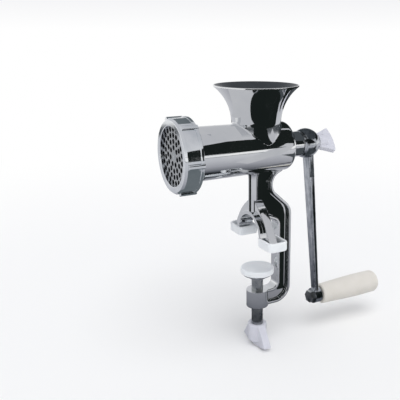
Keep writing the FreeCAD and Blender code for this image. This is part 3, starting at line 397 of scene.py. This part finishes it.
def even_plastic(name, colours, rough, grain, depth, glow, spread=0.06, flow=14.0, sink=2.5, edge=0.4):
    """Plastic, moulded or turned: an even colour with slight flow clouds, a fine grain, and light that sinks
    a little way in."""
    material, tree, shader, place = new_material(
        name,
        IOR=1.5,
        Subsurface_Weight=glow,
        Subsurface_Radius=(1.0, 1.0, 1.0),
        Subsurface_Scale=sink * MM,
    )
    clouds = add_node(tree, "ShaderNodeTexNoise", {"Vector": place, "Scale": per_metre(flow), "Detail": 2.0})
    tint = add_node(tree, "ShaderNodeValToRGB", {"Fac": clouds.outputs["Fac"]})
    set_ramp(tint, [(0.3, colours[0]), (0.7, colours[1])])
    specks = add_node(
        tree, "ShaderNodeTexNoise", {"Vector": place, "Scale": per_metre(grain), "Detail": 2.0}
    ).outputs["Fac"]
    finish = add_node(
        tree, "ShaderNodeMapRange", {"Value": specks, "To Min": rough - spread, "To Max": rough + spread}
    )
    feed(
        shader,
        Base_Color=tint.outputs["Color"],
        Roughness=finish.outputs["Result"],
        Normal=relief(tree, specks, 0.5, depth, edge),
    )
    return material


def dress(piece, material):
    """Gives a piece or a CAD node one material all over."""
    piece.data.materials.clear()
    piece.data.materials.append(material)


def merged_copy(name, node):
    """A copy of a CAD node's mesh with its loose triangles joined."""
    mesh = frame["nodes"][node].data.copy()
    mesh.name = name
    shape = bmesh.new()
    shape.from_mesh(mesh)
    bmesh.ops.remove_doubles(shape, verts=shape.verts, dist=JOIN_REACH * MM)
    shape.to_mesh(mesh)
    shape.free()
    # Zero vectors drop the normals that came with the CAD mesh
    mesh.normals_split_custom_set([(0, 0, 0)] * len(mesh.loops))
    piece = bpy.data.objects.new(name, mesh)
    bpy.context.scene.collection.objects.link(piece)
    return piece


def settle(piece):
    """Turns a piece's modifiers into plain mesh."""
    bpy.context.view_layer.update()
    seen = piece.evaluated_get(bpy.context.evaluated_depsgraph_get())
    made = bpy.data.meshes.new_from_object(seen)
    piece.modifiers.clear()
    piece.data = made


def round_over(piece, grain, passes):
    """Gives a piece the soft edges of a moulding: one even skin of this grain in millimetres, smoothed in
    so many passes."""
    skin = piece.modifiers.new("even_skin", "REMESH")
    skin.mode = "VOXEL"
    skin.voxel_size = grain * MM
    skin.use_smooth_shade = True
    ease = piece.modifiers.new("soft_edges", "SMOOTH")
    ease.factor = SMOOTHING
    ease.iterations = passes
    settle(piece)
    piece.data.shade_smooth()


def stand_for(piece, node):
    """Puts a piece in the place of a CAD node, on its body and with its finish."""
    dress(piece, FINISHES[SLOTS[node]])
    body = next(b for b, members in frame["record"]["behaviour"]["bodies"].items() if node in members)
    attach(piece, body)
    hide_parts(node)


def thread_tree():
    """A screw from its foot upwards: a core with a ridge wound round it, and a plain pin on top."""
    tree = bpy.data.node_groups.new("threaded_rod", "GeometryNodeTree")
    for name in ("Radius", "Length", "Pin Radius", "Pin Length", "Pitch", "Depth", "Inner Width"):
        tree.interface.new_socket(name, in_out="INPUT", socket_type="NodeSocketFloat")
    tree.interface.new_socket("Steps", in_out="INPUT", socket_type="NodeSocketInt")
    tree.interface.new_socket("Finish", in_out="INPUT", socket_type="NodeSocketMaterial")
    tree.interface.new_socket("Geometry", in_out="OUTPUT", socket_type="NodeSocketGeometry")
    size = add_node(tree, "NodeGroupInput").outputs

    def result_of(operation, first, second):
        return add_node(tree, "ShaderNodeMath", {0: first, 1: second}, operation=operation).outputs[0]

    def lifted(shape, height):
        place = add_node(tree, "ShaderNodeCombineXYZ", {"Z": height}).outputs[0]
        return add_node(
            tree, "GeometryNodeTransform", {"Geometry": shape, "Translation": place}
        ).outputs["Geometry"]

    def rod(radius, length):
        made = add_node(
            tree,
            "GeometryNodeMeshCylinder",
            {"Vertices": size["Steps"], "Radius": radius, "Depth": length},
            fill_type="NGON",
        )
        return lifted(made.outputs["Mesh"], result_of("MULTIPLY", length, 0.5))

    root = result_of("SUBTRACT", size["Radius"], size["Depth"])
    wound = result_of("SUBTRACT", size["Length"], size["Pitch"])
    middle = result_of("ADD", root, result_of("MULTIPLY", size["Depth"], 0.5))
    spiral = add_node(
        tree,
        "GeometryNodeCurveSpiral",
        {
            "Resolution": size["Steps"],
            "Rotations": result_of("DIVIDE", wound, size["Pitch"]),
            "Start Radius": middle,
            "End Radius": middle,
            "Height": wound,
            "Reverse": True,
        },
    )
    upright = add_node(tree, "GeometryNodeSetCurveNormal", {"Curve": spiral.outputs["Curve"]}, mode="Z_UP")
    ridge = add_node(
        tree,
        "GeometryNodeCurvePrimitiveQuadrilateral",
        {
            "Height": size["Depth"],
            "Bottom Width": result_of("MULTIPLY", size["Pitch"], RIDGE_OUTER),
            "Top Width": size["Inner Width"],
            "Offset": 0.0,
        },
        mode="TRAPEZOID",
    )
    turned = add_node(
        tree,
        "GeometryNodeTransform",
        {"Geometry": ridge.outputs["Curve"], "Rotation": (0.0, 0.0, math.radians(RIDGE_TURN))},
    )
    swept = add_node(
        tree,
        "GeometryNodeCurveToMesh",
        {"Curve": upright.outputs["Curve"], "Profile Curve": turned.outputs["Geometry"], "Fill Caps": True},
    )
    ridge_up = lifted(swept.outputs["Mesh"], result_of("MULTIPLY", size["Pitch"], 0.5))
    pin = lifted(rod(size["Pin Radius"], size["Pin Length"]), size["Length"])
    whole = add_node(tree, "GeometryNodeJoinGeometry")
    for shape in (rod(root, size["Length"]), ridge_up, pin):
        tree.links.new(shape, whole.inputs["Geometry"])
    real = add_node(tree, "GeometryNodeRealizeInstances", {"Geometry": whole.outputs["Geometry"]})
    finished = add_node(
        tree,
        "GeometryNodeSetMaterial",
        {"Geometry": real.outputs["Geometry"], "Material": size["Finish"]},
    )
    add_node(tree, "NodeGroupOutput", {"Geometry": finished.outputs["Geometry"]})
    return tree


def threaded_screw():
    """The clamp screw with its thread cut, inside the plain screw's outline."""
    low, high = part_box("clamp_screw")
    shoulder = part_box("clamp_disc")[0][2] - SHOULDER_GAP * MM
    piece = bpy.data.objects.new("threaded_clamp_screw", bpy.data.meshes.new("threaded_clamp_screw"))
    bpy.context.scene.collection.objects.link(piece)
    tree = thread_tree()
    thread = piece.modifiers.new("thread", "NODES")
    thread.node_group = tree
    sizes = {
        "Radius": (high[0] - low[0]) / 2,
        "Length": shoulder - low[2],
        "Pin Radius": PIN_RADIUS * MM,
        "Pin Length": high[2] - shoulder,
        "Pitch": THREAD_PITCH * MM,
        "Depth": THREAD_DEPTH * MM,
        "Inner Width": RIDGE_INNER * MM,
        "Steps": THREAD_STEPS,
        "Finish": FINISHES[SLOTS["clamp_screw"]],
    }
    for item in tree.interface.items_tree:
        if item.in_out == "INPUT":
            thread[item.identifier] = sizes[item.name]
    settle(piece)
    piece.data.transform(Matrix.Translation(((low[0] + high[0]) / 2, (low[1] + high[1]) / 2, low[2])))
    piece.data.shade_smooth()
    piece.data.set_sharp_from_angle(angle=math.radians(SHARP_EDGE))
    return piece


def set_camera():
    """The camera at the viewpoint, with its lens shifted as the picture is framed."""
    azimuth = math.radians(VIEW_AZIMUTH)
    elevation = math.radians(VIEW_ELEVATION)
    back = Vector(
        (
            math.sin(azimuth) * math.cos(elevation),
            -math.cos(azimuth) * math.cos(elevation),
            math.sin(elevation),
        )
    )
    roll = Matrix.Rotation(math.radians(VIEW_ROLL), 3, back)
    right = roll @ Vector((math.cos(azimuth), math.sin(azimuth), 0))
    up = back.cross(right)
    lens = bpy.data.cameras.new("view")
    lens.sensor_width = SENSOR
    lens.lens = SENSOR * VIEW_FOCUS / PICTURE
    lens.shift_x = (PICTURE / 2 - VIEW_AXIS[0]) / PICTURE
    lens.shift_y = (VIEW_AXIS[1] - PICTURE / 2) / PICTURE
    lens.clip_start, lens.clip_end = VIEW_REACH
    camera = bpy.data.objects.new("view", lens)
    camera.matrix_world = Matrix.Translation(VIEW_CENTRE) @ Matrix((right, up, back)).transposed().to_4x4()
    bpy.context.scene.collection.objects.link(camera)
    bpy.context.scene.camera = camera


def flat_piece(name, corners):
    """A flat stage piece through these corners, in metres."""
    mesh = bpy.data.meshes.new(name)
    mesh.from_pydata(corners, [], [list(range(len(corners)))])
    piece = bpy.data.objects.new(name, mesh)
    bpy.context.scene.collection.objects.link(piece)
    return piece


def rectangle(across, along):
    """The corners of a rectangle between these limits."""
    return [
        (across[0], along[0]),
        (across[1], along[0]),
        (across[1], along[1]),
        (across[0], along[1]),
    ]


def level_sheet(height, outline):
    """The corners of a sheet that lies level, with its outline along X and Y."""
    return [(x, y, height) for x, y in outline]


def upright_sheet(y, outline):
    """The corners of a sheet that stands square to Y, with its outline along X and up."""
    return [(x, y, z) for x, z in outline]


def side_sheet(x, outline):
    """The corners of a sheet that stands square to X, with its outline along Y and up."""
    return [(x, y, z) for y, z in outline]


def set_floor():
    """White paper that keeps the shadow near the object and fades to pure white further off. In the metal it
    shows painted shades instead of the lit paper: dark under the object as painted shade, pale around it, with a
    painted dark strip before a white horizon."""
    level = cad_box[0][2] - FLOOR_DROP
    side = (-FLOOR_HALF, FLOOR_HALF)
    floor = flat_piece("floor", level_sheet(level, rectangle(side, side)))
    material, tree, shader, place = new_material(
        "matt_white_paper", Base_Color=linear(PAPER), Roughness=0.9, Specular_IOR_Level=0.0
    )
    path = add_node(tree, "ShaderNodeLightPath")
    away = add_node(
        tree, "ShaderNodeVectorMath", {0: place, 1: (0.0, 0.0, level)}, operation="DISTANCE"
    ).outputs["Value"]
    fade = add_node(
        tree,
        "ShaderNodeMapRange",
        {"Value": away, "From Min": FLOOR_FADES[0], "From Max": FLOOR_FADES[1]},
        interpolation_type="SMOOTHSTEP",
    )
    seen_far = add_node(
        tree,
        "ShaderNodeMath",
        {0: fade.outputs["Result"], 1: path.outputs["Is Camera Ray"]},
        operation="MULTIPLY",
    )
    white = add_node(tree, "ShaderNodeEmission", {"Color": (1.0, 1.0, 1.0, 1.0)})
    # Glossy rays see these painted shades, not the lit paper: painted shade under the object and a painted dark
    # strip
    part_of_span = add_node(tree, "ShaderNodeMapRange", {"Value": away, "From Max": FLOOR_SPAN})
    shade = add_node(tree, "ShaderNodeValToRGB", {"Fac": part_of_span.outputs["Result"]})
    set_ramp(shade, FLOOR_PAINTED_IN_METAL)
    painted_reflection = add_node(tree, "ShaderNodeEmission", {"Color": shade.outputs["Color"]})
    near = add_node(
        tree,
        "ShaderNodeMixShader",
        {0: seen_far.outputs["Value"], 1: shader.outputs["BSDF"], 2: white.outputs["Emission"]},
    )
    whole = add_node(
        tree,
        "ShaderNodeMixShader",
        {0: path.outputs["Is Glossy Ray"], 1: near.outputs["Shader"], 2: painted_reflection.outputs["Emission"]},
    )
    tree.links.new(whole.outputs["Shader"], tree.nodes["Material Output"].inputs["Surface"])
    dress(floor, material)


def set_cards():
    """Cards round the metal, seen only in its reflections, as a studio sets them round polished ware. Their
    places are in millimetres."""
    over_barrel = [
        (33, -62),
        (58, -66),
        (290, -450),
        (600, 0),
        (250, 470),
        (30, 50),
        (30, 0),
        (28, -18),
        (28, -40),
    ]
    over_hopper_neck = [(6, -56), (28, -56), (28, -22), (20, -24), (12, -28), (6, -29)]
    beside_leg = [(84, -4), (128, -4), (118, 52), (88, 94), (50, 112), (35, 105), (54, 83), (76, 50)]
    before_web = [(y + WEB_CARD_SHIFT[0], z + WEB_CARD_SHIFT[1]) for y, z in WEB]
    black = {
        "barrel_card": level_sheet(118.0, over_barrel),
        "neck_card": level_sheet(100.0, [(27, -24), (230, -190), (230, 60), (27, 20)]),
        "dome_roof_card": level_sheet(132.0, rectangle((-20, 14), (27, 48))),
        "dome_side_card": upright_sheet(40.0, rectangle((18, 60), (122, 180))),
        "web_card": side_sheet(WEB_CARD_X, before_web),
        "post_card": upright_sheet(-58.0, rectangle((-60, 14), (5, 62))),
        "ring_band_card": side_sheet(330.0, rectangle((15, 62), (50, 140))),
        "arm_card": side_sheet(40.0, rectangle((85, 125), (-110, 80))),
        "dome_card": upright_sheet(130.0, rectangle((-60, 40), (112, 200))),
    }
    dark = {
        "hub_roof_card": level_sheet(132.0, rectangle((-60, 60), (48, 120))),
        "hub_under_card": level_sheet(60.0, rectangle((5, 75), (50, 112))),
    }
    grey = {
        "ring_top_card": level_sheet(140.0, rectangle((-30, 8), (-90, -64))),
        "ring_under_card": level_sheet(60.0, rectangle((8, 85), (-94, -58))),
    }
    pale = {
        "barrel_top_card": level_sheet(128.0, rectangle((-12, 14), (-66, -27))),
        "hopper_card": level_sheet(121.0, over_hopper_neck),
        "leg_card": upright_sheet(36.0, beside_leg),
    }
    white = {
        "ring_front_card": upright_sheet(-200.0, rectangle((-215, -110), (-25, 65))),
    }
    for shade, cards in (
        ("#1c2120", black),
        ("#4b5054", dark),
        ("#6b7276", grey),
        ("#c7c8cc", pale),
        ("#eceded", white),
    ):
        material = new_material(
            f"card_{shade[1:]}",
            Base_Color=(0.0, 0.0, 0.0, 1.0),
            Specular_IOR_Level=0.0,
            Emission_Color=linear(shade),
            Emission_Strength=1.0,
        )[0]
        for name, corners in cards.items():
            card = flat_piece(name, [Vector(corner) * MM for corner in corners])
            dress(card, material)
            card.visible_camera = False
            card.visible_diffuse = False
            card.visible_shadow = False
            card.visible_transmission = False


def set_lights():
    """An even white room, greyer overhead, and one wide soft lamp that gives the shadow its side."""
    world = bpy.data.worlds.new("studio")
    bpy.context.scene.world = world
    world.use_nodes = True
    tree = world.node_tree
    aim = add_node(tree, "ShaderNodeTexCoord").outputs["Generated"]
    rise = add_node(tree, "ShaderNodeSeparateXYZ", {0: aim}).outputs["Z"]
    shade = add_node(tree, "ShaderNodeValToRGB", {"Fac": rise})
    set_ramp(shade, ROOM)
    tree.links.new(shade.outputs["Color"], tree.nodes["Background"].inputs["Color"])
    lamp = bpy.data.lights.new("soft_lamp", "SUN")
    lamp.angle = math.radians(LAMP_SPREAD)
    lamp.energy = LAMP_STRENGTH
    overhead = bpy.data.objects.new("soft_lamp", lamp)
    overhead.rotation_euler = Vector(LAMP_AIM).to_track_quat("-Z", "Y").to_euler()
    overhead.visible_glossy = False
    bpy.context.scene.collection.objects.link(overhead)
    bpy.context.scene.view_settings.view_transform = "Standard"


# Finish of each slot, with the sizes of its marks in millimetres
FINISHES = {
    "polished_casting": polished_aluminium(
        "polished_cast_aluminium",
        colours=("#dcdee1", "#eceded"),
        gloss=(0.03, 0.07),
        blotch=30.0,
        wave=0.015,
        raw_and_shaded_inside=True,
    ),
    "ring_casting": polished_aluminium(
        "satin_polished_aluminium",
        colours=("#dadee2", "#f0f2f4"),
        gloss=(0.05, 0.11),
        blotch=12.0,
        wave=0.06,
    ),
    "crank_casting": handled_alloy(
        streak=2.6,
        stretch=0.06,
        smudge=9.0,
        smudge_share=0.45,
        depth=0.12,
        edge=0.7,
        gloss=(0.08, 0.22),
    ),
    "auger_casting": cast_aluminium(grain=1.2, depth=0.1),
    "cutting_steel": ground_steel(ring=4.0, gloss=(0.22, 0.36)),
    "plain_steel": zinc_plated_steel(bloom=5.0, gloss=(0.2, 0.38)),
    "clear_pad": even_plastic(
        "milky_soft_plastic", colours=("#e6eaee", "#eef1f4"), rough=0.36, grain=1.0, depth=0.02, glow=0.5
    ),
    "white_plastic": even_plastic(
        "white_moulded_plastic", colours=("#cecfd8", "#d4d5de"), rough=0.34, grain=0.9, depth=0.02, glow=0.2
    ),
    "grip_plastic": even_plastic(
        "ivory_moulded_plastic", colours=("#d8d4cc", "#dcd8d1"), rough=0.42, grain=0.8, depth=0.03, glow=0.2
    ),
    "nylon": even_plastic(
        "turned_nylon", colours=("#ddd9cf", "#e6e2d9"), rough=0.45, grain=0.6, depth=0.02, glow=0.4
    ),
}
SLOTS = {part["node"]: part["material_slot"] for part in frame["record"]["subparts"]}

for node, slot in SLOTS.items():
    dress(frame["nodes"][node], FINISHES[slot])

# Mouldings with soft edges: the grain of the skin in millimetres, and how often it is smoothed
for name, node, grain, passes in (
    ("rounded_lock_knob", "lock_knob", 0.3, 14),
    ("rounded_clamp_knob", "clamp_knob", 0.4, 14),
    ("rounded_left_pad", "foot_pad_left", 0.3, 30),
    ("rounded_right_pad", "foot_pad_right", 0.3, 30),
    ("rounded_disc_pad", "clamp_disc_pad", 0.35, 8),
):
    moulding = merged_copy(name, node)
    round_over(moulding, grain, passes)
    stand_for(moulding, node)

stand_for(threaded_screw(), "clamp_screw")

set_camera()
set_floor()
set_cards()
set_lights()
